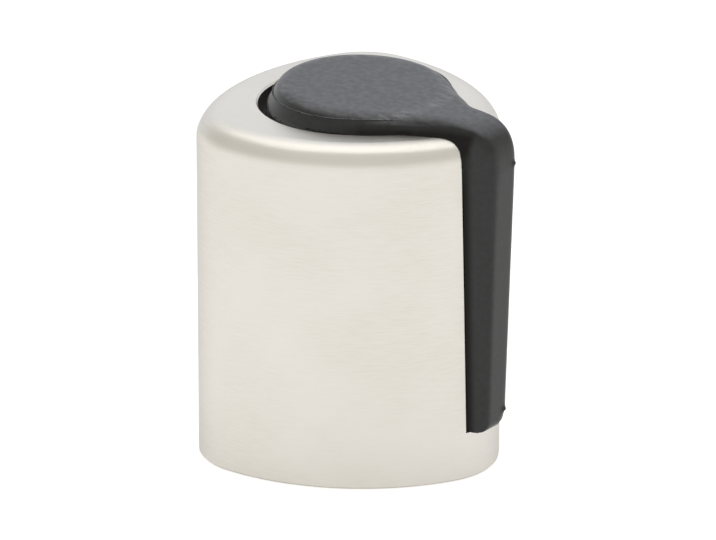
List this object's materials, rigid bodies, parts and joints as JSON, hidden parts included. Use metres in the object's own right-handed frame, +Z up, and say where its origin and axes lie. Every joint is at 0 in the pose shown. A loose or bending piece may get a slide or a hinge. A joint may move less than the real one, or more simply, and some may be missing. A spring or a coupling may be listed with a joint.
{
  "type": "floor door stop",
  "caption": "Floor-fixed door stop: a heavy rounded-triangular cast housing with a moulded rubber buffer whose pad closes the screw well and whose strap runs down the nose.",
  "frame": {"origin": "centre of the screw hole in the flat base, on the floor", "axes": "+Z up, +X along the nose that carries the rubber strap"},
  "size_m": [0.0457, 0.042, 0.0531],
  "materials": {
    "housing": "satin nickel plate, finely brushed along the walls",
    "rubber_buffer": "moulded, matt on top and slightly glossy at the sides"
  },
  "bodies": {
    "root": {"housing": "housing", "rubber_buffer": "rubber_buffer"}
  },
  "joints": []
}
